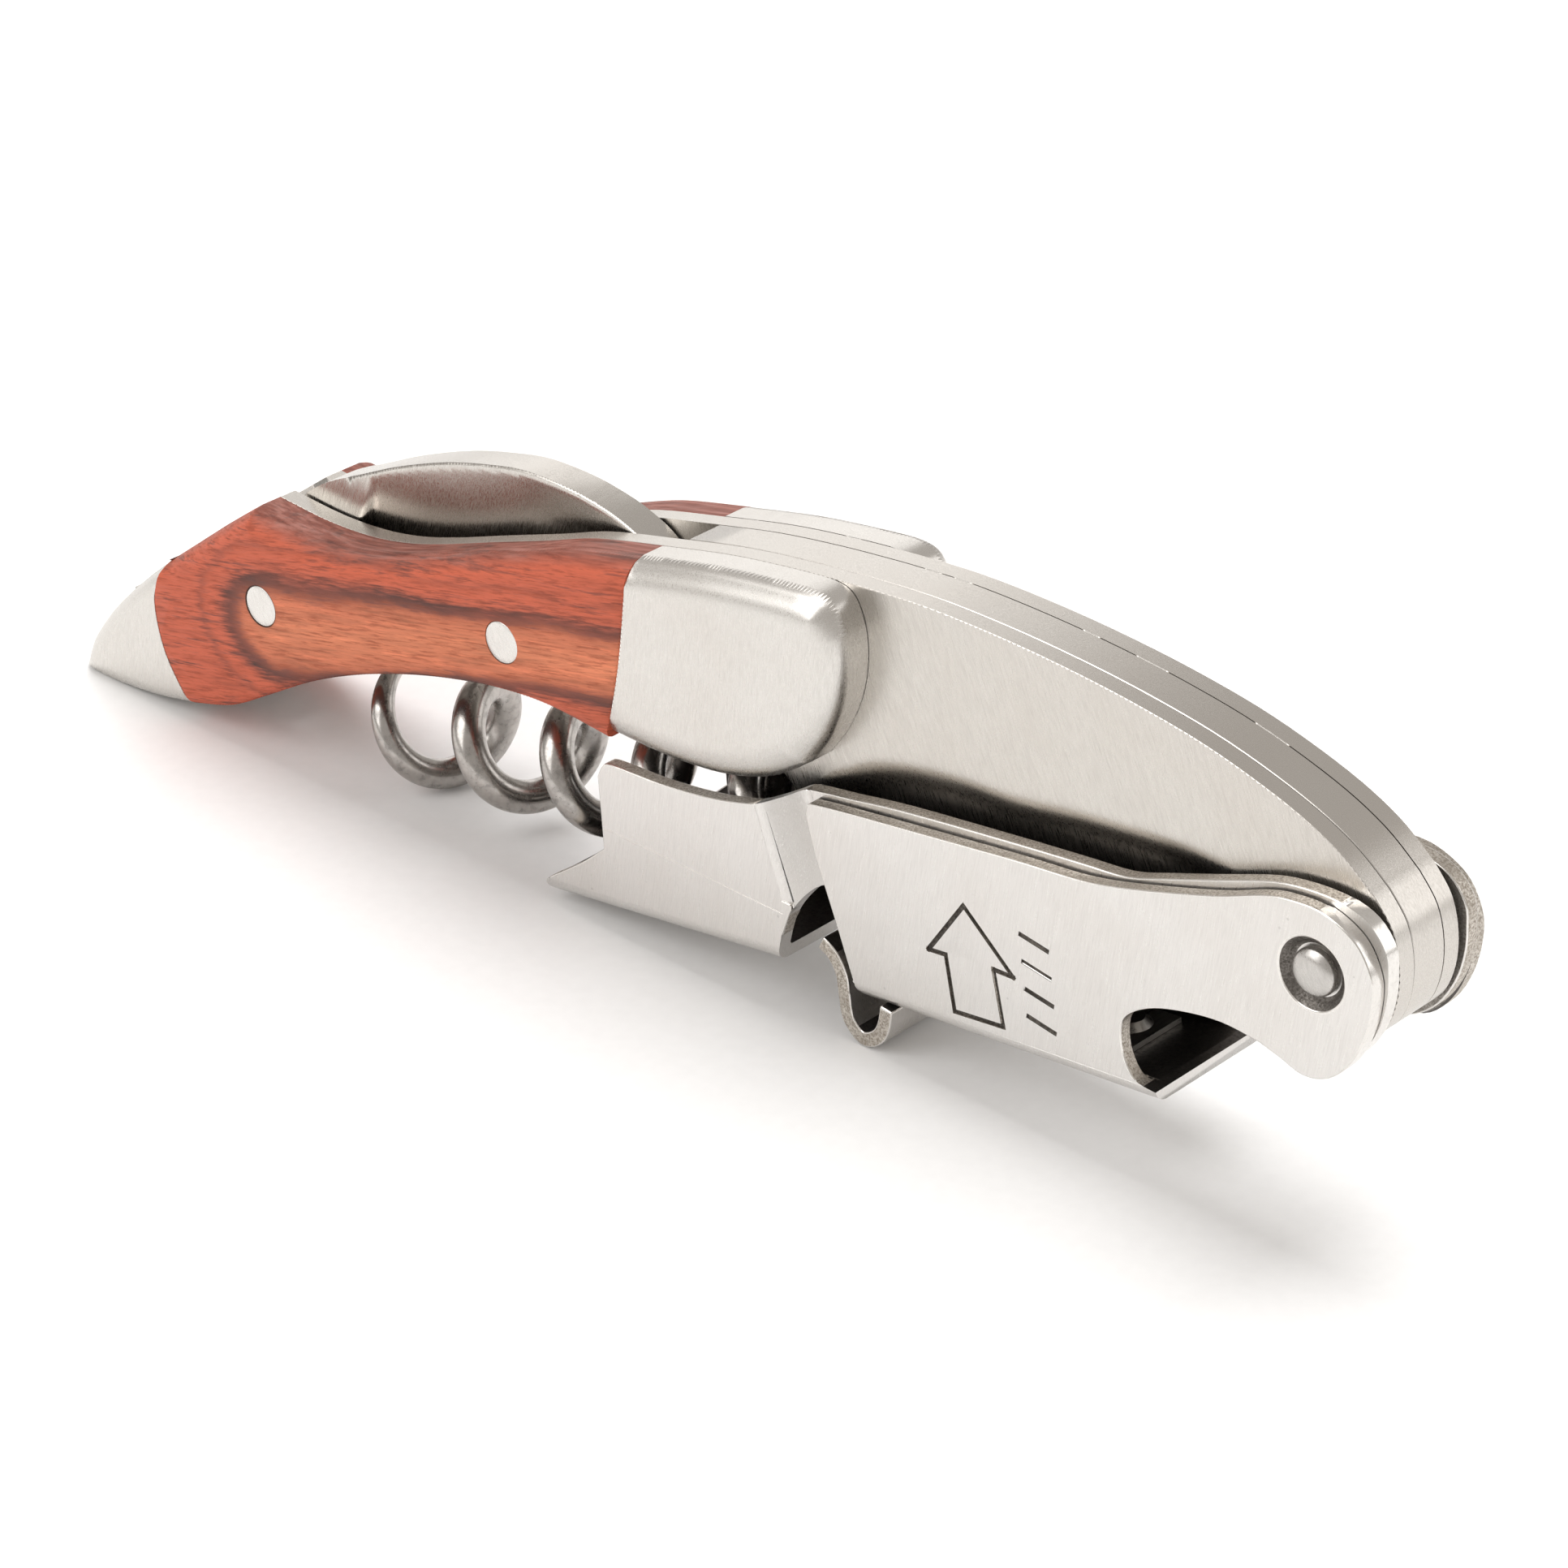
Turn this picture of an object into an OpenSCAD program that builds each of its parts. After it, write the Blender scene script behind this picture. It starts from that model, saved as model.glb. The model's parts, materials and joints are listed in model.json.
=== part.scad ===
// Lever corkscrew, folded and standing on its tail and its lever tips. Millimetres, +Z up.
// Outlines are laid out in the X-Z plane from the middle of the round nose, with the tail towards -X.
// place() then moves every node, so that the origin is at the middle of the base.

/* [Handle] */
// Thickness of each side liner
liner_t = 1.55; // [1.3:0.05:1.7]
// Thickness of the centre plate, which is the backspring too
spring_t = 3; // [2.9:0.1:3.2]
// Thickness of each wood scale, bolster and tail cap
scale_t = 3.7; // [3.2:0.1:4]
// Radius of the two bright handle pins
pin_r = 1.6; // [1.2:0.1:1.8]

/* [Knife] */
// Thickness of the foil knife
blade_t = 2.8; // [2.2:0.1:2.8]
// Half of the blade's thickness left at its cutting edge
edge_half = 0.2; // [0.15:0.05:0.5]
// Radius of the wheel that hollows the blade's sides
grind_r = 26; // [22:1:32]

/* [Worm] */
// Radius of the coil, to the middle of the wire
coil_r = 3.7; // [3.3:0.1:3.7]
// Radius of the wire
wire_r = 1.25; // [0.9:0.05:1.25]
// Advance of one turn
pitch = 9.15; // [8.8:0.05:9.3]
// Slope of the folded coil, in degrees
coil_slope = 9.9; // [9.5:0.1:10.2]

/* [Levers] */
// Thickness of the lever sheet
sheet_t = 1.1; // [0.9:0.05:1.1]
// Thickness of each washer between the handle and the levers
washer_t = 0.45; // [0.35:0.05:0.5]
// Inner half width of the long lever where it is flared over the worm
flare_y = 5.65; // [5.15:0.1:5.65]
// Gap between the nested lever cheeks
nest_gap = 0.05; // [0.03:0.01:0.1]
// Radius of the lever rivet
rivet_r = 1.5; // [1.2:0.1:1.6]
// Room all round a shaft that turns in a bore
run_gap = 0.03; // [0.02:0.01:0.08]

/* [Hidden] */
$fn = 64;

base_x = -55.425;
base_z = -20.84;
far = 40;

body_y = spring_t / 2 + liner_t;
face_y = body_y + scale_t;
long_y = body_y + washer_t;
short_y = long_y + sheet_t + nest_gap;

lever_at = [0.4, 0.35];
knife_at = [-94.55, -7.9];
scale_pin_at = [-69.25, -1.7];
worm_at = [-42, -8.4];
worm_pin_r = 1.1;
hidden_pins = [[-52.5, 4], [-43.5, 6]];
hidden_pin_r = 1;
hidden_pin_grip = 2.2;
tail_rivet_at = [-108.5, -17.8];

// ---- Curves ----

// One point on the curve from b to c, with a and d as the points before and after
function on_curve(a, b, c, d, t) =
    0.5 * (2 * b + (c - a) * t + (2 * a - 5 * b + 4 * c - d) * t * t + (3 * b - a - 3 * c + d) * t * t * t);

// A smooth stretch through the points, without its last point, so that stretches join end to end
function smooth(p, n = 5) = [
    for (i = [0 : len(p) - 2], k = [0 : n - 1])
        on_curve(p[max(i - 1, 0)], p[i], p[i + 1], p[min(i + 2, len(p) - 1)], k / n)
];

// ---- Outlines in the X-Z plane ----

tail_top = [[-116.2, -20.2], [-115.2, -17.9], [-112.6, -14.6], [-109.2, -11.3], [-105.7, -8.3]];
scale_back = [[-105.7, -8.3], [-100, -3.8], [-96, -0.8]];
slot_top = [[-96, -0.8], [-91, -1], [-86.5, -0.7], [-82.5, 0.1], [-78.5, 1.4], [-74, 3.1], [-68.3, 5.2],
    [-63.3, 7.1], [-57.1, 8.7]];
bolster_top = [[-57.1, 8.7], [-50.8, 10.2], [-45, 11.2], [-39.6, 11.9]];
front_top = [[-39.6, 11.9], [-34, 12.4], [-28, 12.5], [-22, 12.3], [-16, 11.8], [-10, 10.9], [-4, 9.3],
    [0, 7.6], [2.8, 5.6]];
nose = [[2.8, 5.6], [4.3, 3.8], [5, 1.5], [5, -1], [4.2, -3.3], [2.4, -4.9], [0, -5.4], [-3, -5.3]];
belly = [[-3, -5.3], [-14, -6], [-26, -7.2], [-37, -8.3], [-39.1, -9]];
worm_lobe = [[-39.1, -9], [-40.2, -10.8], [-42, -11.4], [-43.9, -10.7], [-45, -8.4]];
bolster_low = [[-41.7, -1.3], [-45, -3.6], [-49.2, -5], [-54.2, -5.6], [-59.2, -5.6]];
bolster_low_left = [[-46.5, -4.2], [-49.2, -5], [-54.2, -5.6], [-59.2, -5.6]];
scale_low = [[-59.2, -5.6], [-65, -5.3], [-70, -5.8], [-75, -6.9], [-80, -8.4], [-85, -10.3], [-90, -12.7],
    [-95, -15.7], [-99, -18], [-103.3, -19.4]];
tail_low = [[-103.3, -19.4], [-107.5, -20.3], [-112, -20.8], [-115.2, -20.75], [-116.2, -20.2]];
cap_joint = [[-103.3, -19.4], [-105.8, -15.8], [-106.7, -11.7], [-105.7, -8.3]];
bolster_joint = [[-57.1, 8.7], [-57.9, 0.8], [-59.2, -5.6]];
bolster_front = [[-39.6, 11.9], [-38.5, 8.3], [-38.7, 4.6], [-40, 1.2], [-41.7, -1.3]];

function reversed(p) = [for (i = [len(p) - 1 : -1 : 0]) p[i]];

liner_outline = concat(smooth(tail_top), smooth(scale_back), smooth(slot_top), smooth(bolster_top),
    smooth(front_top), smooth(nose), smooth(belly), smooth(worm_lobe), [[-45, -8.4], [-45, -5.2]],
    smooth(bolster_low_left), smooth(scale_low), smooth(tail_low));
cap_outline = concat(smooth(tail_top), smooth(reversed(cap_joint)), smooth(tail_low));
scale_outline = concat(smooth(scale_back), smooth(slot_top), smooth(bolster_joint), smooth(scale_low),
    smooth(cap_joint));
bolster_outline = concat(smooth(bolster_top), smooth(bolster_front), smooth(bolster_low),
    smooth(reversed(bolster_joint)));

// The centre plate ends at a slanted wall at the head of the blade slot, and runs back under the blade
spring_top = [[-56.4, 3.6], [-58, 2.2], [-63, 1.6], [-69, -0.1], [-75, -3], [-80, -5], [-85, -7.4],
    [-88.5, -9.9], [-91.5, -11.8], [-94.6, -12.4]];
spring_front = [[-56.1, 8.95], [-50.8, 10.2], [-45, 11.2], [-39.6, 11.9]];
spring_belly = [[-3, -5.3], [-14, -6], [-26, -7.2], [-37.4, -8.2]];
spring_low = [[-59.2, -5.6], [-65, -5.3], [-70, -5.8], [-75, -6.9], [-80, -8.4], [-85, -10.3], [-90, -12.7],
    [-94.6, -15.4]];
spring_outline = concat(smooth(spring_front), smooth(front_top), smooth(nose), smooth(spring_belly),
    [[-37.4, -8.2], [-39, -5.3], [-45, -5.1]], smooth(bolster_low_left), smooth(spring_low),
    [[-94.6, -15.4]], smooth(reversed(spring_top)), [[-56.4, 3.6]]);

spacer_outline = concat([[-99, -18], [-98.2, -17.5], [-99.4, -15.6], [-115.3, -15.6]],
    smooth([[-115.3, -18.1], [-115.9, -19.3], [-116.2, -20.2]]), smooth(reversed(tail_low)),
    [[-103.3, -19.4]]);

blade_spine = [[-96.2, -2.2], [-94.8, -0.6], [-92.5, 1], [-89.1, 2.7], [-85, 4.7], [-80, 6.7], [-75.5, 8],
    [-72, 8.7], [-68, 8.8], [-65, 8.5], [-62.7, 8], [-60.4, 7.1], [-58.6, 5.7], [-57.6, 4.4]];
blade_edge = [[-57.6, 4.4], [-62, 3.4], [-69, 1.2], [-75, -1.5], [-80, -3.6], [-85, -5.4], [-89.6, -6.9]];
tang_r = 4.2;

long_top = [[-60.4, -9.1], [-59.9, -8.1], [-59, -7.7], [-54.6, -7.4], [-50, -6.7], [-46.2, -5.7],
    [-44, -4.8], [-42.5, -4.1], [-38.9, -3.4], [-34.2, -2.5], [-25.3, -1.2], [-19.3, -0.4], [-15.6, 0.1],
    [-12.5, 1.2], [-8.6, 2.7], [-4.5, 4.3], [-1.7, 4.9], [1, 5], [3.2, 4.4], [4.6, 2.9], [4.9, 1.2],
    [4.9, -0.6], [4.4, -2.8], [3.2, -5], [1.5, -6.5], [-0.3, -7], [-2.5, -6.3]];
long_under = [[-2.5, -6.3], [-8, -6.2], [-13, -7.7], [-20, -9.4], [-28, -10.5], [-36, -11], [-40, -10.6]];
long_notch = [[-40, -10.6], [-41.3, -10.9], [-42.4, -12.9], [-43.6, -17.2]];
long_floor = [[-43.6, -17.2], [-50.6, -18.25], [-59.9, -19.7], [-62.5, -20.1], [-64.9, -20.3]];
long_foot = [[-65.7, -20.2], [-65.6, -19.4], [-64.2, -18.3], [-62, -16.6], [-59.9, -14.7]];
long_profile = concat(smooth(long_top, 4), smooth(long_under, 4), smooth(long_notch), smooth(long_floor, 2),
    [[-64.9, -20.3]], smooth(long_foot, 3), [[-59.9, -14.7], [-60.2, -11.2]]);

short_top = [[-41.9, -5.2], [-41.7, -4.5], [-41, -4.2], [-35.6, -3.3], [-24.4, -1.6], [-18.4, -0.8],
    [-14.1, 0.3], [-7.8, 2.4], [-4, 4], [-1.8, 4.5], [0.2, 4.6], [2, 4.1], [3.4, 3.2], [4.4, 1.6], [4.7, 0],
    [4.4, -2.5], [3.4, -5], [1.8, -6.8], [-0.1, -7.4], [-2, -6.9], [-3.6, -6.5]];
cap_notch = [[-3.6, -6.5], [-6.6, -6.35], [-9.7, -6.9], [-12.3, -7.8], [-14.1, -9.1], [-14.5, -10.4],
    [-14.2, -12.1], [-13.2, -13.5], [-11.5, -13.8]];
short_floor = [[-11.5, -14.75], [-35.6, -17.55]];
short_end = [[-35.6, -17.55], [-36.9, -17.3], [-37.6, -16], [-38.9, -12.9], [-41, -8], [-41.9, -5.2]];
short_profile = concat(smooth(short_top, 4), smooth(cap_notch), [[-11.5, -13.8], [-11.5, -14.75]],
    smooth(short_end, 4));
hook_line = [[-40.4, -14.6], [-39.3, -15.2], [-38.5, -16.4], [-38.2, -18], [-37.8, -19.6], [-36.6, -20.55],
    [-35.4, -20.1], [-34.7, -19], [-34.4, -17]];

// ---- Shared shapes ----

module place() translate([-base_x, 0, -base_z]) children();

// The levers' outlines are laid out from their own pivot
module place_lever() place() translate([lever_at.x, 0, lever_at.y]) children();

// Extrudes an X-Z outline from y0 to y1
module slab(points, y0, y1) translate([0, y1, 0]) rotate([90, 0, 0]) linear_extrude(y1 - y0) polygon(points);

// A round shaft or hole along Y at an X-Z point
module rod(at, r, y0, y1) translate([at.x, y1, at.y]) rotate([90, 0, 0]) cylinder(h = y1 - y0, r = r);

// Keeps the front (-Y) or back (+Y) of what is made for the front
module side(back) mirror([0, back ? 1 : 0, 0]) children();

// ---- Handle ----

module liner(back) {
    color("silver") place() side(back) difference() {
        slab(liner_outline, -body_y, -spring_t / 2);
        for (at = [knife_at, scale_pin_at]) rod(at, pin_r, -far, far);
        for (at = hidden_pins) rod(at, hidden_pin_r, -far, far);
        rod(tail_rivet_at, hidden_pin_r, -far, far);
        rod(worm_at, worm_pin_r, -far, far);
        rod(lever_at, rivet_r + run_gap, -far, far);
    }
}

module front_liner() liner(false);
module back_liner() liner(true);

module backspring() {
    color("silver") place() difference() {
        slab(spring_outline, -spring_t / 2, spring_t / 2);
        rod(scale_pin_at, pin_r, -far, far);
        for (at = hidden_pins) rod(at, hidden_pin_r, -far, far);
        rod(lever_at, rivet_r + run_gap, -far, far);
    }
}

module tail_spacer() {
    color("silver") place() difference() {
        slab(spacer_outline, -spring_t / 2, spring_t / 2);
        rod(tail_rivet_at, hidden_pin_r, -far, far);
    }
}

module tail_cap(back) {
    color("gainsboro") place() side(back) difference() {
        slab(cap_outline, -face_y, -body_y);
        rod(tail_rivet_at, hidden_pin_r, -body_y - hidden_pin_grip, far);
    }
}

module front_tail_cap() tail_cap(false);
module back_tail_cap() tail_cap(true);

module scale_panel(back) {
    color("sienna") place() side(back) difference() {
        slab(scale_outline, -face_y, -body_y);
        for (at = [knife_at, scale_pin_at]) rod(at, pin_r, -far, far);
    }
}

module front_scale() scale_panel(false);
module back_scale() scale_panel(true);

module bolster(back) {
    color("gainsboro") place() side(back) difference() {
        slab(bolster_outline, -face_y, -body_y);
        for (at = hidden_pins) rod(at, hidden_pin_r, -body_y - hidden_pin_grip, far);
    }
}

module front_bolster() bolster(false);
module back_bolster() bolster(true);

module knife_pin() color("whitesmoke") place() rod(knife_at, pin_r, -face_y, face_y);
module scale_pin() color("whitesmoke") place() rod(scale_pin_at, pin_r, -face_y, face_y);

module bolster_pins() {
    color("silver") place()
        for (at = hidden_pins) rod(at, hidden_pin_r, -body_y - hidden_pin_grip, body_y + hidden_pin_grip);
}

module tail_rivet() {
    color("silver") place()
        rod(tail_rivet_at, hidden_pin_r, -body_y - hidden_pin_grip, body_y + hidden_pin_grip);
}

module worm_pin() color("silver") place() rod(worm_at, worm_pin_r, -body_y, body_y);

module pivot_washers() {
    washer_r = 3.6;
    color("silver") place() for (back = [false, true]) side(back) difference() {
        rod(lever_at, washer_r, -long_y, -body_y);
        rod(lever_at, rivet_r + run_gap, -far, far);
    }
}

// ---- Foil knife ----

module knife_blade() {
    plunge_x = -89;
    grind_angle = 20;
    grind_from = [-78, -3.6];
    wheel_w = 80;
    color("darkgray") place() difference() {
        union() {
            slab(concat(smooth(blade_spine), smooth(blade_edge, 3), [[-89.6, -6.9], [-92, -8.6]]),
                -blade_t / 2, blade_t / 2);
            rod(knife_at, tang_r, -blade_t / 2, blade_t / 2);
        }
        rod(knife_at, pin_r + run_gap, -far, far);
        intersection() {
            for (s = [-1, 1])
                translate([grind_from.x, s * (grind_r + edge_half), grind_from.y])
                    rotate([0, 90 - grind_angle, 0])
                        cylinder(h = wheel_w, r = grind_r, center = true, $fn = 128);
            translate([plunge_x, -far, -far]) cube(2 * far);
        }
    }
}

// ---- Worm ----

// The coil's own line, by turn: the first turn tapers to a point and the last closes in to the shank
coil_from = [-80.7, -15.6];
first_turn = -0.75;
full_turn = 0.25;
last_open_turn = 3.3;
last_turn = 4.1;
phase = 243.3;
ring_sides = 10;
rings_per_turn = 26;

function turn_wire_r(t) =
    wire_r * (t > full_turn ? 1 : max(0.1, pow(sin(90 * (t - first_turn) / (full_turn - first_turn)), 0.35)));
function turn_r(t) = t < last_open_turn ? coil_r
    : coil_r * (0.5 + 0.5 * cos(180 * (t - last_open_turn) / (last_turn - last_open_turn)));
function coil_axis(s) = [coil_from.x + s * cos(coil_slope), 0, coil_from.y + s * sin(coil_slope)];
function coil_point(t) =
    let (a = 360 * t + phase, r = turn_r(t))
    coil_axis(pitch * t) + r * [-cos(a) * sin(coil_slope), -sin(a), cos(a) * cos(coil_slope)];

coil_turns = [for (i = [0 : ceil((last_turn - first_turn) * rings_per_turn)])
    min(last_turn, first_turn + i / rings_per_turn)];
coil_path = concat([for (t = coil_turns) coil_point(t)], [[worm_at.x - 0.3, 0, worm_at.y]]);
coil_radii = concat([for (t = coil_turns) turn_wire_r(t)], [wire_r]);

function unit(v) = v / norm(v);
function tangent(p, i) = unit(p[min(i + 1, len(p) - 1)] - p[max(i - 1, 0)]);
function squared(v, d) = unit(v - d * (d * v));

// Rings lie across the path, and each takes its side direction from the ring before, so none twists
module sweep(path, radii, sides) {
    n = len(path);
    side_dirs = [for (i = 0, v = squared([0, 0, 1], tangent(path, 0)); i < n;
        v = squared(v, tangent(path, i + 1)), i = i + 1) v];
    points = [for (i = [0 : n - 1], k = [0 : sides - 1])
        let (u = side_dirs[i], w = cross(tangent(path, i), u), a = 360 * k / sides)
        path[i] + radii[i] * (cos(a) * u + sin(a) * w)];
    walls = [for (i = [0 : n - 2], k = [0 : sides - 1])
        let (a = i * sides + k, b = i * sides + (k + 1) % sides)
        each [[a, b + sides, b], [a, a + sides, b + sides]]];
    polyhedron(points, concat([[for (k = [0 : sides - 1]) k]], walls,
        [[for (k = [sides - 1 : -1 : 0]) (n - 1) * sides + k]]));
}

module worm() {
    eye_r = 2.5;
    eye_half = 1.4;
    color("dimgray") place() difference() {
        union() {
            sweep(coil_path, coil_radii, ring_sides);
            rod(worm_at, eye_r, -eye_half, eye_half);
        }
        rod(worm_at, worm_pin_r + run_gap, -far, far);
    }
}

// ---- Levers ----

lever_slope_long = atan2(2.5, 16);
lever_slope_short = atan2(2.8, 24.1);

// Both cheeks of the long lever in plan, measured from the end of the step between their two widths:
// wide over the worm, and stepped in to nest over the handle
module long_cheek_plan() {
    wide = flare_y + sheet_t / 2;
    slim = long_y + sheet_t / 2;
    step = smooth([[-3.8, wide], [-3, wide - 0.15], [-1.9, (wide + slim) / 2], [-0.8, slim + 0.1],
        [-0.1, slim]]);
    line = concat([[-far, wide]], step, [[-0.1, slim], [1.5 * far, slim]]);
    band = concat([for (p = line) p + [0, sheet_t / 2]], [for (p = reversed(line)) p - [0, sheet_t / 2]]);
    for (s = [-1, 1]) polygon([for (p = band) [p.x, s * p.y]]);
}

// The rounded channel that both levers are folded from, cut across and run along the lever's floor
module channel(half_y, floor_from, floor_slope, length, inner_half_y) {
    bend_r = 1.4;
    height = 30;
    translate([floor_from.x, 0, floor_from.y]) rotate([0, floor_slope, 0]) rotate([90, 0, -90]) difference() {
        linear_extrude(length) union() {
            translate([-half_y, bend_r]) square([2 * half_y, height]);
            translate([-half_y + bend_r, 0]) square([2 * (half_y - bend_r), bend_r + 1]);
            for (s = [-1, 1]) translate([s * (half_y - bend_r), bend_r]) circle(bend_r);
        }
        translate([0, 0, -1]) linear_extrude(length + 2) union() {
            translate([-inner_half_y, bend_r]) square([2 * inner_half_y, height]);
            translate([-half_y + bend_r, sheet_t]) square([2 * (half_y - bend_r), bend_r]);
            for (s = [-1, 1]) translate([s * (half_y - bend_r), bend_r]) circle(bend_r - sheet_t);
        }
    }
}

spring_pin_at = [-33, -9.5];
spring_pin_r = 0.7;

module long_lever() {
    out_y = flare_y + sheet_t;
    floor_at = [-41.5, -16.85];
    floor_l = 28;
    // The step leans like the end of the short lever, which it clears
    step_at = [-41.9, -5.2];
    step_lean = 21.3;
    // The cheeks close over the walls of the folded channel, which are a hair thinner
    cheek_from = -13;
    fold_to = -12;
    fold_inset = 0.01;
    color("lightgray") place_lever() difference() {
        intersection() {
            slab(long_profile, -out_y, out_y);
            union() {
                intersection() {
                    translate([step_at.x, 0, step_at.y]) rotate([0, -step_lean, 0]) translate([0, 0, -far])
                        linear_extrude(2 * far) long_cheek_plan();
                    translate([-2 * far, -far, cheek_from]) cube([3 * far, 2 * far, far]);
                }
                intersection() {
                    channel(out_y - fold_inset, floor_at, -lever_slope_long, floor_l, flare_y + fold_inset);
                    translate([-2 * far, -far, fold_to - far]) cube([3 * far, 2 * far, far]);
                }
            }
        }
        rod([0, 0], rivet_r + run_gap, -far, far);
        rod(spring_pin_at, spring_pin_r, -far, far);
    }
}

module spring_pin() {
    half_l = long_y + sheet_t;
    color("silver") place_lever() rod(spring_pin_at, spring_pin_r, -half_l, half_l);
}

sink_r = 2.56;
sink_depth = 0.75;
head_r = 1.75;

module lever_rivet() {
    head_profile = [[0, 0], [head_r, 0], [head_r, 0.28], [1.55, 0.52], [1.1, 0.7], [0, 0.82]];
    out_y = short_y + sheet_t;
    head_from = out_y - 0.55;
    color("silver") place_lever() {
        rod([0, 0], rivet_r, -head_from, head_from);
        for (back = [false, true]) side(back) translate([0, -head_from, 0]) rotate([90, 0, 0])
            rotate_extrude() polygon(head_profile);
    }
}

arrow = [[-27.9, -6.6], [-30.8, -11.1], [-29.3, -10.9], [-28.4, -14.9], [-24.2, -14.3], [-25.2, -10.3],
    [-23.5, -10.2]];
groove = 0.36;
groove_depth = 0.15;

module groove_line(a, b) {
    d = b - a;
    translate([a.x, 0, a.y]) rotate([0, -atan2(d.y, d.x), 0])
        translate([-groove / 2, -far, -groove / 2]) cube([norm(d) + groove, far, groove]);
}

module short_lever() {
    out_y = short_y + sheet_t;
    floor_at = [-11.4, -14.75];
    floor_l = 34;
    // The cheeks' lobes reach past the channel, up to the pivot
    lobe_from = [-20, -13];
    lobe_size = [27, 20];
    // The floor stops short of the cheeks' far ends, and the opening there is a hair wider than the channel
    open_y = short_y + 0.02;
    open_from = [-45, -16.4];
    open_size = [9.7, 14];
    color("lightgray") place_lever() {
        difference() {
            intersection() {
                slab(short_profile, -out_y, out_y);
                union() {
                    channel(out_y, floor_at, -lever_slope_short, floor_l, short_y);
                    for (s = [0, 1]) mirror([0, s, 0]) translate([lobe_from.x, short_y, lobe_from.y])
                        cube([lobe_size.x, sheet_t, lobe_size.y]);
                }
            }
            translate([open_from.x, -open_y, open_from.y]) cube([open_size.x, 2 * open_y, open_size.y]);
            rod([0, 0], rivet_r + run_gap, -far, far);
            for (s = [0, 1]) mirror([0, s, 0]) translate([0, -out_y, 0]) rotate([-90, 0, 0])
                cylinder(h = sink_depth, r1 = sink_r, r2 = sink_r - sink_depth);
            intersection() {
                for (i = [0 : len(arrow) - 1]) groove_line(arrow[i], arrow[(i + 1) % len(arrow)]);
                translate([-far, -out_y - 1, -far]) cube([far, 1 + groove_depth, 2 * far]);
            }
            spring_rivet_hole();
        }
        strip(smooth(hook_line, 4), sheet_t, out_y);
    }
}

// A bent strip of sheet that follows an X-Z line
module strip(line, thick, half_y) {
    n = len(line);
    normals = [for (i = [0 : n - 1])
        let (d = line[min(i + 1, n - 1)] - line[max(i - 1, 0)]) [-d.y, d.x] / norm(d)];
    slab(concat([for (i = [0 : n - 1]) line[i] + thick / 2 * normals[i]],
        [for (i = [n - 1 : -1 : 0]) line[i] - thick / 2 * normals[i]]), -half_y, half_y);
}

spring_rivet_at = [-18, -15.51];
spring_rivet_r = 0.9;
leaf_t = 0.4;
leaf_gap = 0.02;

// Stands on the outside of the short lever's floor, square to it
module on_short_floor()
    translate([spring_rivet_at.x, 0, spring_rivet_at.y]) rotate([0, -lever_slope_short, 0]) children();

module spring_rivet_hole() on_short_floor() translate([0, 0, -2]) cylinder(h = 4, r = spring_rivet_r);

module spring_rivet() {
    shank = sheet_t + leaf_t + leaf_gap;
    color("silver") place_lever() on_short_floor() {
        cylinder(h = shank, r = spring_rivet_r);
        translate([0, 0, shank]) cylinder(h = 0.5, r1 = 1.5, r2 = 1);
    }
}

module leaf_spring() {
    seat = sheet_t + leaf_t / 2 + leaf_gap;
    line = concat([[2.2, seat]],
        smooth([[-2.5, seat], [-5, seat + 0.3], [-9, seat + 2], [-13, seat + 4.6], [-15.4, 6.4],
            [-16.6, 6.35]]));
    color("silver") place_lever() on_short_floor() difference() {
        strip(line, leaf_t, 2.5);
        cylinder(h = 4, r = spring_rivet_r);
    }
}

front_liner();
back_liner();
backspring();
tail_spacer();
front_tail_cap();
back_tail_cap();
front_scale();
back_scale();
front_bolster();
back_bolster();
knife_pin();
scale_pin();
bolster_pins();
tail_rivet();
worm_pin();
pivot_washers();
knife_blade();
worm();
long_lever();
lever_rivet();
spring_pin();
short_lever();
leaf_spring();
spring_rivet();
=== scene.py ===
import json
import math

import bmesh
import bpy
import numpy as np
from mathutils import Matrix, Vector
from mathutils.geometry import delaunay_2d_cdt


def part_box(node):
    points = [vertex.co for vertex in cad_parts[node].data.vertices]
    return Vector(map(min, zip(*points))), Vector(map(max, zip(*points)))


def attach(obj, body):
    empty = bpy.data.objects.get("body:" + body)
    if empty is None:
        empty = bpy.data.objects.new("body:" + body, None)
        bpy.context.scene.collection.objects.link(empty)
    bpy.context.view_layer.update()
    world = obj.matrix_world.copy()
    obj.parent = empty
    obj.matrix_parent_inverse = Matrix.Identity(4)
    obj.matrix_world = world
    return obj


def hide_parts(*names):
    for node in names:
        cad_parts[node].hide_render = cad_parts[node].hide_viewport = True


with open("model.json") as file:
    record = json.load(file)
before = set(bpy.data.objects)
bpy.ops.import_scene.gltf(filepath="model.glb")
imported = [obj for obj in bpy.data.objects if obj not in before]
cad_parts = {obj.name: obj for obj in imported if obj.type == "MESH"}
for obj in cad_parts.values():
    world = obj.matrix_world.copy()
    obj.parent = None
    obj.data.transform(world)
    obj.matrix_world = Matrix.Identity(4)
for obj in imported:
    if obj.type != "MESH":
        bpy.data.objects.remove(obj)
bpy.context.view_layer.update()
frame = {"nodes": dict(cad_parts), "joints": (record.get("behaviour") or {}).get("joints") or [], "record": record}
MM = 0.001
nodes = frame["nodes"]
joints = {j["name"]: Vector(j["pos_m"]) for j in frame["joints"]}
lever_pivot = joints["lever_hinge"]
# the middle of the handle's round nose, which the outlines are measured from
nose = lever_pivot - Vector((0.4, 0, 0.35)) * MM
face_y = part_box("front_bolster")[0].y
body_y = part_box("front_bolster")[1].y


def at(x, z):
    """A point in millimetres from the nose's middle, as a place in the frame."""
    return nose + Vector((x, 0, z)) * MM


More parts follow.
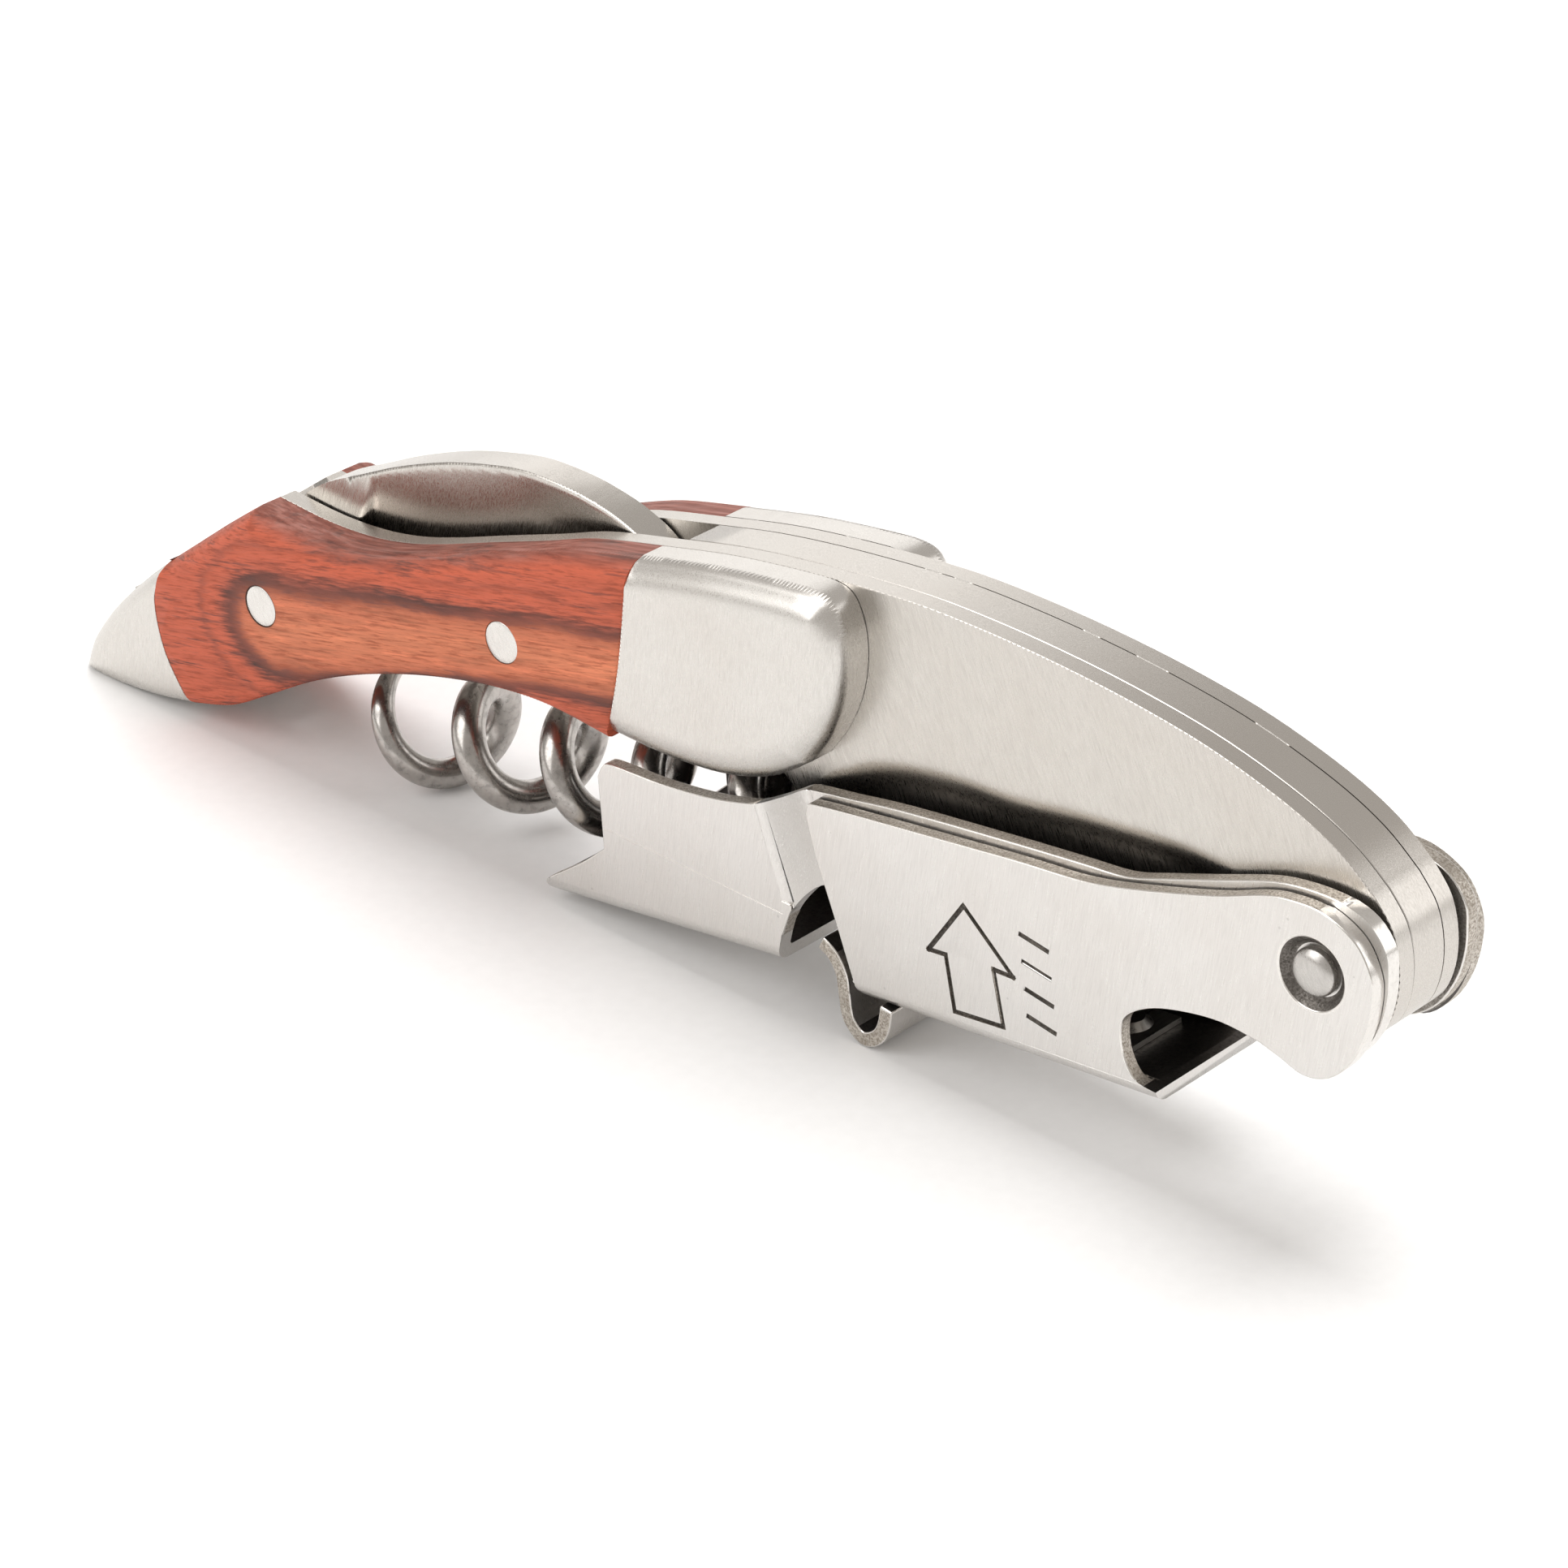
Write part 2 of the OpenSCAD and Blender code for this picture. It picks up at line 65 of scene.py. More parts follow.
knife_pin, scale_pin = joints["knife_hinge"], at(-69.25, -1.7)


# ---------------------------------------------------------------- material helpers

def new_material(name):
    m = bpy.data.materials.new(name)
    m.use_nodes = True
    nt = m.node_tree
    nt.nodes.clear()
    out = nt.nodes.new("ShaderNodeOutputMaterial")
    sh = nt.nodes.new("ShaderNodeBsdfPrincipled")
    nt.links.new(sh.outputs[0], out.inputs[0])
    return m, nt, sh


def ramp(nt, source, stops):
    r = nt.nodes.new("ShaderNodeValToRGB")
    r.color_ramp.elements[0].position = stops[0][0]
    r.color_ramp.elements[0].color = (*stops[0][1], 1)
    r.color_ramp.elements[1].position = stops[-1][0]
    r.color_ramp.elements[1].color = (*stops[-1][1], 1)
    for p, c in stops[1:-1]:
        e = r.color_ramp.elements.new(p)
        e.color = (*c, 1)
    nt.links.new(source, r.inputs[0])
    return r.outputs[0]


def grey(v):
    return (v, v, v)


def vector_math(nt, kind, vec, other=None):
    n = nt.nodes.new("ShaderNodeVectorMath")
    n.operation = kind
    if other is not None:
        n.inputs[1].default_value = other
    nt.links.new(vec, n.inputs[0])
    return n


def stretched(nt, vec, scale):
    return vector_math(nt, "MULTIPLY", vec, scale).outputs[0]


def coords(nt, scale, turn=(0, 0, 0), shift=(0, 0, 0)):
    """Object coordinates, turned and then stretched, so that streaks can lie at any angle."""
    tc = nt.nodes.new("ShaderNodeTexCoord")
    mp = nt.nodes.new("ShaderNodeMapping")
    mp.inputs["Rotation"].default_value = [math.radians(a) for a in turn]
    mp.inputs["Location"].default_value = [a / b for a, b in zip(shift, scale)]
    nt.links.new(tc.outputs["Object"], mp.inputs[0])
    return stretched(nt, mp.outputs[0], scale)


def noise(nt, vec, detail=3.0, rough=0.5):
    n = nt.nodes.new("ShaderNodeTexNoise")
    n.inputs["Scale"].default_value = 1.0
    n.inputs["Detail"].default_value = detail
    n.inputs["Roughness"].default_value = rough
    n.inputs["Distortion"].default_value = 0.0
    nt.links.new(vec, n.inputs["Vector"])
    return n.outputs[0]


def math_node(nt, op, a, b=None):
    n = nt.nodes.new("ShaderNodeMath")
    n.operation = op
    for i, v in enumerate((a, b)):
        if v is None:
            continue
        if isinstance(v, (int, float)):
            n.inputs[i].default_value = v
        else:
            nt.links.new(v, n.inputs[i])
    return n.outputs[0]


def mix_color(nt, fac, a, b, mode="MIX"):
    n = nt.nodes.new("ShaderNodeMix")
    n.data_type = "RGBA"
    n.blend_type = mode
    for sock, v in ((n.inputs[0], fac), (n.inputs[6], a), (n.inputs[7], b)):
        if isinstance(v, (int, float)):
            sock.default_value = v
        elif isinstance(v, tuple):
            sock.default_value = (*v, 1)
        else:
            nt.links.new(v, sock)
    return n.outputs[2]


def bumps(nt, sh, height, strength, distance):
    b = nt.nodes.new("ShaderNodeBump")
    b.inputs["Strength"].default_value = strength
    b.inputs["Distance"].default_value = distance
    nt.links.new(height, b.inputs["Height"])
    nt.links.new(b.outputs[0], sh.inputs["Normal"])


# ---------------------------------------------------------------- steel

def pitted(nt, base, amount):
    """A few small dark pits, in patches."""
    spots = nt.nodes.new("ShaderNodeTexVoronoi")
    spots.inputs["Scale"].default_value = 900
    nt.links.new(coords(nt, (1, 1, 1)), spots.inputs["Vector"])
    patches = noise(nt, coords(nt, (300, 300, 300)), 2.0)
    spot = math_node(nt, "LESS_THAN", spots.outputs["Distance"], 0.10)
    spot = math_node(nt, "MULTIPLY", spot, math_node(nt, "GREATER_THAN", patches, 0.62))
    return mix_color(nt, math_node(nt, "MULTIPLY", spot, amount), base, (0.06, 0.05, 0.045))


def steel(name, color, rough, grain=(1, 1, 1), turn=(0, 0, 0), streak=0.12, bump=0.05, pits=0.0,
          rough_spread=0.12, stain=(0.55, 0.50, 0.45), painted_hollow_shade=None):
    """Brushed steel. grain is the number of brush marks per metre along each axis, turn tilts them, and
    the colour given for the hollows is painted shade, a darker colour laid on the hollowed places where a mesh
    marks them in its attribute of the same name."""
    m, nt, sh = new_material(name)
    brush = noise(nt, coords(nt, grain, turn), 4.0, 0.65)
    cloud = noise(nt, coords(nt, (120, 120, 120)), 2.0)
    dark = tuple(c * (1 - 2.2 * streak) for c in color)
    light = tuple(min(1, c * (1 + streak)) for c in color)
    base = ramp(nt, brush, [(0.3, dark), (0.5, color), (0.72, light)])
    base = mix_color(nt, ramp(nt, cloud, [(0.35, grey(0)), (0.75, grey(0.22))]), base, stain)
    # painted shade: the hollows are darkened in the base colour, standing in for their shade and dark reflection
    if painted_hollow_shade:
        attr = nt.nodes.new("ShaderNodeAttribute")
        attr.attribute_name = "painted_hollow_shade"
        base = mix_color(nt, attr.outputs["Fac"], base, painted_hollow_shade)
    if pits:
        base = pitted(nt, base, pits)
    nt.links.new(base, sh.inputs["Base Color"])
    smoothest = max(0.02, rough - rough_spread)
    shine = ramp(nt, brush, [(0.25, grey(rough + rough_spread)), (0.75, grey(smoothest))])
    nt.links.new(shine, sh.inputs["Roughness"])
    sh.inputs["Metallic"].default_value = 1.0
    bumps(nt, sh, brush, bump, 0.06 * MM)
    return m


def rough_edge(name, color, dark, rough=0.5, amount=0.5):
    """The punched, speckled edge of the lever sheet."""
    m, nt, sh = new_material(name)
    fine = noise(nt, coords(nt, (6500, 6500, 6500)), 3.0, 0.6)
    wide = noise(nt, coords(nt, (500, 900, 500)), 2.0)
    middle = tuple((a + b) / 2 for a, b in zip(color, dark))
    base = ramp(nt, fine, [(0.36, dark), (0.5, middle), (0.62, color)])
    base = mix_color(nt, ramp(nt, wide, [(0.4, grey(0)), (0.65, grey(amount))]), base, dark)
    nt.links.new(base, sh.inputs["Base Color"])
    shine = ramp(nt, fine, [(0.3, grey(rough + 0.2)), (0.7, grey(rough - 0.15))])
    nt.links.new(shine, sh.inputs["Roughness"])
    sh.inputs["Metallic"].default_value = 0.9
    bumps(nt, sh, fine, 0.5, 0.1 * MM)
    return m


# ---------------------------------------------------------------- wood

def from_tail_pin(nt):
    """Millimetres from the tail pin, with X along the line through both pins."""
    slope = math.atan2(scale_pin.z - knife_pin.z, scale_pin.x - knife_pin.x)
    tc = nt.nodes.new("ShaderNodeTexCoord")
    offset = vector_math(nt, "SUBTRACT", tc.outputs["Object"], knife_pin)
    mp = nt.nodes.new("ShaderNodeMapping")
    mp.inputs["Rotation"].default_value = (0, slope, 0)
    mp.inputs["Scale"].default_value = (1000, 1000, 1000)
    nt.links.new(offset.outputs[0], mp.inputs[0])
    return mp.outputs[0]


def loop_field(nt, place, streak, fibre):
    """1 along a loop that lies round the tail pin and opens towards the bolster, and less inside it."""
    def op(kind, a, b=None):
        return math_node(nt, kind, a, b)

    sep = nt.nodes.new("ShaderNodeSeparateXYZ")
    nt.links.new(place, sep.inputs[0])
    along, up = sep.outputs[0], sep.outputs[2]
    above = 2.5
    warp = noise(nt, coords(nt, (70, 45, 160)), 4.0, 0.6)
    warp = op("MULTIPLY", op("SUBTRACT", warp, 0.5), 2.6)
    slow = noise(nt, coords(nt, (34, 30, 50), shift=(2, 0, 5)), 2.0)
    slow = op("MULTIPLY", op("SUBTRACT", slow, 0.5), 3.4)
    # the loop's lower side runs up towards the middle of the scale
    below = op("SUBTRACT", 5.3, op("MULTIPLY", op("MAXIMUM", along, 0.0), 0.1))
    below = op("MAXIMUM", below, 3.0)
    centre = op("MULTIPLY", op("SUBTRACT", above, below), 0.5)
    half = op("MULTIPLY", op("ADD", above, below), 0.5)
    side = op("DIVIDE", op("ADD", op("SUBTRACT", up, centre), op("ADD", warp, slow)), half)
    tip = op("ADD", op("MULTIPLY", warp, 0.6), 1.0)
    endward = op("DIVIDE", op("MINIMUM", op("SUBTRACT", along, tip), 0.0), 5.0)
    field = op("SQRT", op("ADD", op("MULTIPLY", side, side), op("MULTIPLY", endward, endward)))
    tooth = op("MULTIPLY", op("ADD", op("SUBTRACT", fibre, 0.5), op("SUBTRACT", streak, 0.5)), 0.5)
    return op("ADD", field, tooth)


def charcoal(nt, field, streak):
    """Where the wood is charcoal: the loop, a fainter one round it, and dashes along the grain."""
    inner = ramp(nt, field, [(0.0, grey(0)), (0.68, grey(0.04)), (0.86, grey(0.8)), (1.0, grey(0.97))])
    outer = ramp(nt, math_node(nt, "SUBTRACT", field, 1.0),
                 [(0.0, grey(0.97)), (0.10, grey(0.75)), (0.22, grey(0.25)), (0.34, grey(0.04)),
                  (0.5, grey(0.02)), (0.62, grey(0.4)), (0.76, grey(0.05))])
    dashes = ramp(nt, streak, [(0.54, grey(0)), (0.63, grey(0.8))])
    outer = mix_color(nt, 1.0, outer, dashes, "SCREEN")
    mask = mix_color(nt, math_node(nt, "LESS_THAN", field, 1.0), outer, inner)
    patch = noise(nt, coords(nt, (60, 50, 200), shift=(3.1, 0, 7.7)), 3.0, 0.6)
    patch = ramp(nt, patch, [(0.3, grey(0.6)), (0.6, grey(1))])
    return mix_color(nt, 1.0, mask, patch, "MULTIPLY")


def top_shade_and_grain(nt, base, place):
    """Painted shade on the top of each scale: faces that look up are darkened, with darker grain lines in the
    shade.
    """
    tc = nt.nodes.new("ShaderNodeTexCoord")
    face = nt.nodes.new("ShaderNodeSeparateXYZ")
    nt.links.new(tc.outputs["Normal"], face.inputs[0])
    upward_shade = ramp(nt, face.outputs[2], [(0.5, grey(0)), (0.95, grey(0.75))])
    lines = noise(nt, stretched(nt, place, (0.12, 2.2, 2.2)), 3.0, 0.6)
    grain = ramp(nt, lines, [(0.35, (0.045, 0.026, 0.024)), (0.5, (0.12, 0.062, 0.052)),
                             (0.7, (0.26, 0.15, 0.13))])
    return mix_color(nt, upward_shade, base, grain)


def pin_line(nt, base, place):
    """A thin dark line where the tail pin passes through the wood."""
    flat = stretched(nt, place, (1, 0, 1))
    near = vector_math(nt, "LENGTH", flat).outputs["Value"]
    line = ramp(nt, math_node(nt, "DIVIDE", near, 4.0),
                [(0.405, grey(0.85)), (0.425, grey(0.12)), (0.5, grey(0))])
    return mix_color(nt, line, base, (0.03, 0.015, 0.01))


def wood(name, red, dark):
    """Reddish layered wood. Streaks run along the grain, and a charcoal band loops round the tail pin."""
    m, nt, sh = new_material(name)
    place = from_tail_pin(nt)
    streak = noise(nt, stretched(nt, place, (0.10, 0.45, 1.5)), 4.0, 0.75)
    fibre = noise(nt, stretched(nt, place, (0.45, 3.0, 5.5)), 3.0, 0.65)
    field = loop_field(nt, place, streak, fibre)
    warm = ramp(nt, field, [(0.0, (red[0] * 1.12, red[1] * 1.75, red[2] * 1.75)),
                            (0.7, (red[0] * 1.0, red[1] * 1.4, red[2] * 1.4)), (1.0, red)])
    shade = ramp(nt, streak, [(0.28, grey(0.5)), (0.44, grey(0.84)), (0.56, grey(1.0)), (0.72, grey(1.35))])
    base = mix_color(nt, 1.0, warm, shade, "MULTIPLY")
    base = mix_color(nt, ramp(nt, fibre, [(0.34, grey(0.6)), (0.5, grey(0))]), base,
                     tuple(c * 0.42 for c in red))
    base = mix_color(nt, charcoal(nt, field, streak), base, dark)
    # painted shade on the tops of the scales, with grain lines
    base = top_shade_and_grain(nt, base, place)
    base = pin_line(nt, base, place)
    nt.links.new(base, sh.inputs["Base Color"])
    shine = ramp(nt, fibre, [(0.3, grey(0.66)), (0.7, grey(0.44))])
    nt.links.new(shine, sh.inputs["Roughness"])
    sh.inputs["Specular IOR Level"].default_value = 0.25
    sh.inputs["Coat Weight"].default_value = 0.04
    sh.inputs["Coat Roughness"].default_value = 0.35
    bumps(nt, sh, math_node(nt, "ADD", fibre, streak), 0.35, 0.1 * MM)
    return m


# ---------------------------------------------------------------- the looks

LEVER = steel("lever_steel", (0.71, 0.692, 0.67), 0.33, (14000, 14000, 700), (0, -8, 0), 0.03, 0.10,
              pits=0.16)
# the liners' hollowed scoop gets painted shade, a darker colour standing in for the dark reflection along it
LINER = steel("liner_steel", (0.60, 0.575, 0.54), 0.30, (14000, 14000, 700), (0, 25, 0), 0.045, 0.12,
              painted_hollow_shade=(0.33, 0.30, 0.27))
BOLSTER = steel("bolster_steel", (0.66, 0.64, 0.61), 0.30, (13000, 13000, 900), (0, -6, 0), 0.035, 0.10)
# the blade's hollow grind gets painted shade, a darker colour that grows with the grind's depth
BLADE = steel("blade_steel", (0.60, 0.575, 0.54), 0.27, (14000, 14000, 500), (0, -20, 0), 0.06, 0.12,
              painted_hollow_shade=(0.44, 0.39, 0.35))
PIN = steel("pin_steel", (0.72, 0.705, 0.68), 0.28, (5000, 5000, 900), (0, 30, 0), 0.03, 0.06)
RIVET = steel("rivet_steel", (0.52, 0.505, 0.485), 0.30, (5000, 5000, 900), (0, 30, 0), 0.05, 0.06)
ARRIS = steel("arris_steel", (0.76, 0.74, 0.71), 0.20, (3000, 3000, 3000), (0, 0, 0), 0.04, 0.05)
WORM = steel("worm_steel", (0.42, 0.40, 0.38), 0.25, (1500, 1500, 1500), (0, 0, 0), 0.16, 0.10,
             rough_spread=0.07)
SPRING = steel("spring_steel", (0.36, 0.35, 0.33), 0.34, (2500, 300, 2500), (0, 0, 0), 0.12, 0.1)
# near-black painted shade for the lever's inward faces, the inside of its channel and the gap between its sheets
SHADE_STEEL = steel("inner_painted_shade", (0.10, 0.092, 0.085), 0.42, (4000, 4000, 900), (0, 0, 0), 0.2, 0.2,
              stain=(0.05, 0.04, 0.035))
EDGE = rough_edge("cut_edge_steel", (0.66, 0.62, 0.565), (0.32, 0.28, 0.235), 0.42, 0.35)
GROOVE = rough_edge("groove_steel", (0.13, 0.115, 0.10), (0.05, 0.045, 0.04))
# painted shade for the lever's inward faces at the lobes: darker than the sheet's outer faces, speckled
LOBE_SHADE = rough_edge("lobe_painted_shade", (0.46, 0.435, 0.40), (0.22, 0.20, 0.18), 0.5, 0.5)
SINK = rough_edge("sink_steel", (0.20, 0.185, 0.17), (0.10, 0.09, 0.08), 0.4, 0.3)
WOOD = wood("rosewood", (0.60, 0.125, 0.062), (0.045, 0.028, 0.026))

SLOT_LOOK = {"steel_liner": LINER, "steel_bolster": BOLSTER, "steel_blade": BLADE, "steel_lever": LEVER,
             "steel_pin": PIN, "steel_worm": WORM, "steel_spring": SPRING, "wood_scale": WOOD}
slot_of = {s["node"]: s["material_slot"] for s in frame["record"]["subparts"]}
body_of = {n: b for b, ns in frame["record"]["behaviour"]["bodies"].items() for n in ns}
for node, part in nodes.items():
    part.data.materials.clear()
    part.data.materials.append(SLOT_LOOK[slot_of[node]])


# ---------------------------------------------------------------- mesh helpers

def mesh_of(node):
    """A working copy of a CAD node's mesh, welded and with its flat faces made whole."""
    bm = bmesh.new()
    bm.from_mesh(nodes[node].data)
    bmesh.ops.remove_doubles(bm, verts=bm.verts, dist=2e-7)
    make_whole(bm)
    return bm


def make_whole(bm):
    """Joins the faces that lie in one plane."""
    bmesh.ops.dissolve_limit(bm, angle_limit=math.radians(0.4), verts=bm.verts, edges=bm.edges,
                             delimit={"NORMAL"})


def soften(bm, test, width, segments=2, least=30, shortest=0.0, material=-1):
    """Rounds the sharp edges that pass the test."""
    edges = [e for e in bm.edges if len(e.link_faces) == 2 and e.calc_face_angle(0) > math.radians(least)
             and e.calc_length() > shortest * MM and test(e)]
    if edges:
        bmesh.ops.bevel(bm, geom=edges, offset=width * MM, offset_type="OFFSET", segments=segments,
                        profile=0.5, affect="EDGES", clamp_overlap=False, material=material)


def split(bm, test, point, normal):
    """Cuts the faces that pass the test along a plane."""
    faces = [f for f in bm.faces if test(f)]
    verts = dict.fromkeys(v for f in faces for v in f.verts)
    edges = dict.fromkeys(e for f in faces for e in f.edges)
    bmesh.ops.bisect_plane(bm, geom=[*verts, *edges, *faces], dist=1e-7, plane_co=point, plane_no=normal)


def finish_piece(bm, node, looks, smooth_angle=35, weighted=False):
    """Makes the mesh an object that replaces the node and rides on its body."""
    name = node + "_detail"
    bmesh.ops.recalc_face_normals(bm, faces=bm.faces)
    me = bpy.data.meshes.new(name)
    bm.to_mesh(me)
    bm.free()
    ob = bpy.data.objects.new(name, me)
    bpy.context.scene.collection.objects.link(ob)
    for m in looks:
        me.materials.append(m)
    me.shade_smooth()
    me.set_sharp_from_angle(angle=math.radians(smooth_angle))
    if weighted:
        ob.modifiers.new("normals", "WEIGHTED_NORMAL").keep_sharp = True
    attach(ob, body_of[node])
    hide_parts(node)
    return ob


def outline_loops(node, y, across=False):
    """The closed outlines of a node's flat face at that Y, or of its section across Y, longest first."""
    bm = mesh_of(node)
    if across:
        bmesh.ops.bisect_plane(bm, geom=bm.verts[:] + bm.edges[:] + bm.faces[:], dist=1e-7,
                               plane_co=(0, y, 0), plane_no=(0, 1, 0), clear_outer=True)
        edges = [e for e in bm.edges if len(e.link_faces) == 1]
    else:
        flat = {f for f in bm.faces if all(abs(v.co.y - y) < 0.02 * MM for v in f.verts)}
        edges = [e for e in bm.edges if sum(f in flat for f in e.link_faces) == 1]
    links = {}
    for e in edges:
        for v, w in (e.verts, reversed(e.verts)):
            links.setdefault(v, []).append(w)
    loops, left = [], dict.fromkeys(links)
    while left:
        v, loop = next(iter(left)), []
        while v is not None:
            left.pop(v)
            loop.append((v.co.x, v.co.z))
            v = next((w for w in links[v] if w in left), None)
        loops.append(loop)
    bm.free()
    return sorted(loops, key=lambda loop: max(loop)[0] - min(loop)[0], reverse=True)


def cut_small(loop, most):
    """The loop with every segment split into lengths below most."""
    out = []
    for i, p in enumerate(loop):
        q = loop[(i + 1) % len(loop)]
        n = max(1, math.ceil(math.dist(p, q) / most))
        out += [(p[0] + (q[0] - p[0]) * k / n, p[1] + (q[1] - p[1]) * k / n) for k in range(n)]
    return out


def seg_dist(points, segs):
    """Least distance from each point to the segments."""
    if not len(segs):
        return np.full(len(points), 1.0)
    a, b = segs[:, 0], segs[:, 1]
    ab = b - a
    best = np.full(len(points), 1e9)
    for i in range(0, len(points), 2000):
        ap = points[i:i + 2000, None] - a[None]
        t = np.clip((ap * ab).sum(2) / np.maximum((ab * ab).sum(1), 1e-18), 0, 1)
        d = np.linalg.norm(ap - t[..., None] * ab, axis=2)
        best[i:i + 2000] = d.min(1)
    return best


def inside(points, loop):
    px, pz = points[:, 0], points[:, 1]
    hit = np.zeros(len(points), bool)
    for (x0, z0), (x1, z1) in zip(loop, loop[1:] + loop[:1]):
        if z0 != z1:
            hit ^= ((z0 > pz) != (z1 > pz)) & (px < (x1 - x0) * (pz - z0) / (z1 - z0) + x0)
    return hit


def worn(loop, fixed):
    """The loop with its sharp corners, apart from those at the fixed curves, worn round."""
    ring = np.array(loop)
    back, ahead = ring - np.roll(ring, 1, 0), np.roll(ring, -1, 0) - ring
    turn = np.arctan2(back[:, 0] * ahead[:, 1] - back[:, 1] * ahead[:, 0], (back * ahead).sum(1))
    sharp = ring[np.abs(turn) > math.radians(35)]
    if len(sharp):
        sharp = sharp[seg_dist(sharp, fixed) > 1.5 * MM]
    if not len(sharp):
        return loop
    near = np.linalg.norm(ring[:, None] - sharp[None], axis=2).min(1) < 2.6 * MM
    for _ in range(36):
        ring[near] = (0.5 * ring + 0.25 * (np.roll(ring, 1, 0) + np.roll(ring, -1, 0)))[near]
    return [tuple(p) for p in ring]


def segments_of(ring):
    return np.stack([ring, np.roll(ring, -1, 0)], 1)


def turning(ring):
    """1 for a ring that runs one way round, and -1 for the other."""
    ahead = np.roll(ring, -1, 0)
    return 1 if np.sum(ring[:, 0] * ahead[:, 1] - ahead[:, 0] * ring[:, 1]) > 0 else -1


def stepped_in(segs, way, distances, outer, all_segs):
    """Points that follow the segments at each distance inside the outline."""
    run = segs[:, 1] - segs[:, 0]
    inward = np.stack([-run[:, 1], run[:, 0]], 1) / np.linalg.norm(run, axis=1)[:, None] * way
    middle = (segs[:, 0] + segs[:, 1]) / 2
    found = []
    for w in distances:
        q = middle + inward * w
        keep = (seg_dist(q, segs) > 0.985 * w) & inside(q, outer) & (seg_dist(q, all_segs) > 0.5 * w)
        found.append(q[keep])
    return found


def face_points(segs, way, chosen, widths, broken, extra, outer, holes):
    """The points inside the outline that carry the rolled edges and any dip."""
    pts = [np.zeros((0, 2))]
    for i, (in_plane, _) in enumerate(widths):
        if (chosen == i).any():
            steps = [in_plane * MM * (1 - math.cos(math.radians(90 * k / 8))) for k in range(1, 9)]
            pts += stepped_in(segs[chosen == i], way, steps, outer, segs)
    if broken and (chosen < 0).any():
        steps = [broken * MM * k for k in (0.3, 1.0, 2.0)]
        pts += stepped_in(segs[chosen < 0], way, steps, outer, segs)
    if extra is not None:
        e = np.array(extra)
        e = e[inside(e, outer)]
        pts.append(e[seg_dist(e, segs) > 0.25 * MM])
    pts = np.concatenate(pts)
    for h in holes:
        pts = pts[~inside(pts, h)]
        pts = pts[seg_dist(pts, segments_of(np.array(h))) > 0.12 * MM]
    return pts


def sunk_edges(flat, segs, chosen, widths, broken):
    """How deep the rolled and the broken edges lie below the face."""
    down = np.zeros(len(flat))
    for i, (in_plane, through) in enumerate(widths):
        u = np.clip(1 - seg_dist(flat, segs[chosen == i]) / (in_plane * MM), 0, 1)
        down = np.maximum(down, through * MM * (1 - np.sqrt(np.maximum(0, 1 - u * u))))
    if broken and (chosen < 0).any():
        v = np.clip(1 - seg_dist(flat, segs[chosen < 0]) / (broken * MM), 0, 1)
        down = np.maximum(down, broken * MM * v)
    return down


def triangles(points, edges, outer, holes):
    """The points in metres, and the triangles between the outline and its holes."""
    vs, _, fs, *_ = delaunay_2d_cdt(points, edges, [], 0, 1e-6)
    flat = np.array([(v.x * MM, v.y * MM) for v in vs])
    middle = np.array([flat[list(f)].mean(0) for f in fs])
    kept = inside(middle, outer)
    for h in holes:
        kept &= ~inside(middle, h)
    return flat, [f for f, good in zip(fs, kept) if good]


def plate(node, y_out, y_in, looks, rounded=None, widths=(), depth=None, extra=None, step=0.4, both=False,
          broken=0.0, fixed=None):
    """A plate whose outer face rolls over at the outline's rounded stretches, or dips as depth says.
    rounded gives each stretch's place in widths, or -1 for none, and widths holds how far in and how deep
    each rolls. both makes the inner face the same way, broken takes the sharpness off the other edges, and
    fixed holds the curves where corners stay sharp while the others are worn round."""
    section_y = (y_out + y_in) / 2 if both else y_out
    loops = [cut_small(loop, step * MM) for loop in outline_loops(node, section_y, both)]
    if fixed is not None:
        loops[0] = worn(loops[0], fixed)
    outer, holes = loops[0], loops[1:]
    ring = np.array(outer)
    segs, way = segments_of(ring), turning(ring)
    run = segs[:, 1] - segs[:, 0]
    rise = -run[:, 0] * way / np.linalg.norm(run, axis=1)
    middle = (segs[:, 0] + segs[:, 1]) / 2
    chosen = np.array([rounded(*m, r) if rounded else -1 for m, r in zip(middle, rise)])
    pts = face_points(segs, way, chosen, widths, broken, extra, outer, holes)
    rim, rim_edges = [], []
    for loop in loops:
        first = len(rim)
        rim += [Vector((p[0] / MM, p[1] / MM)) for p in loop]
        rim_edges += [(first + i, first + (i + 1) % len(loop)) for i in range(len(loop))]
    inner = [Vector((p[0] / MM, p[1] / MM)) for p in pts]
    flat, faces = triangles(rim + inner, rim_edges, outer, holes)
    dip = depth(flat) if depth is not None else np.zeros(len(flat))
    down = sunk_edges(flat, segs, chosen, widths, broken) + dip
    sign = 1 if y_in > y_out else -1
    bm = bmesh.new()
    shade = bm.verts.layers.float.new("painted_hollow_shade")

    def shaped_face(y, inwards):
        verts = [bm.verts.new((p[0], y + inwards * q, p[1])) for p, q in zip(flat, down)]
        # this attribute is the painted shade mask: the deeper a point lies in the dip, up to 0.6 mm, the more
        # painted shade it gets
        for v, q in zip(verts, dip):
            v[shade] = min(1.0, float(q) / (0.6 * MM))
        return verts

    top = shaped_face(y_out, sign)
    for f in faces:
        bm.faces.new([top[i] for i in f])
    if both:
        low, low_faces = shaped_face(y_in, -sign), faces
    else:
        low = [bm.verts.new((flat[i][0], y_in, flat[i][1])) for i in range(len(rim))]
        low_faces = triangles(rim, rim_edges, outer, holes)[1]
    for f in low_faces:
        bm.faces.new([low[i] for i in reversed(f)])
    for i, j in rim_edges:
        bm.faces.new([top[i], top[j], low[j], low[i]])
    return finish_piece(bm, node, looks, weighted=True)


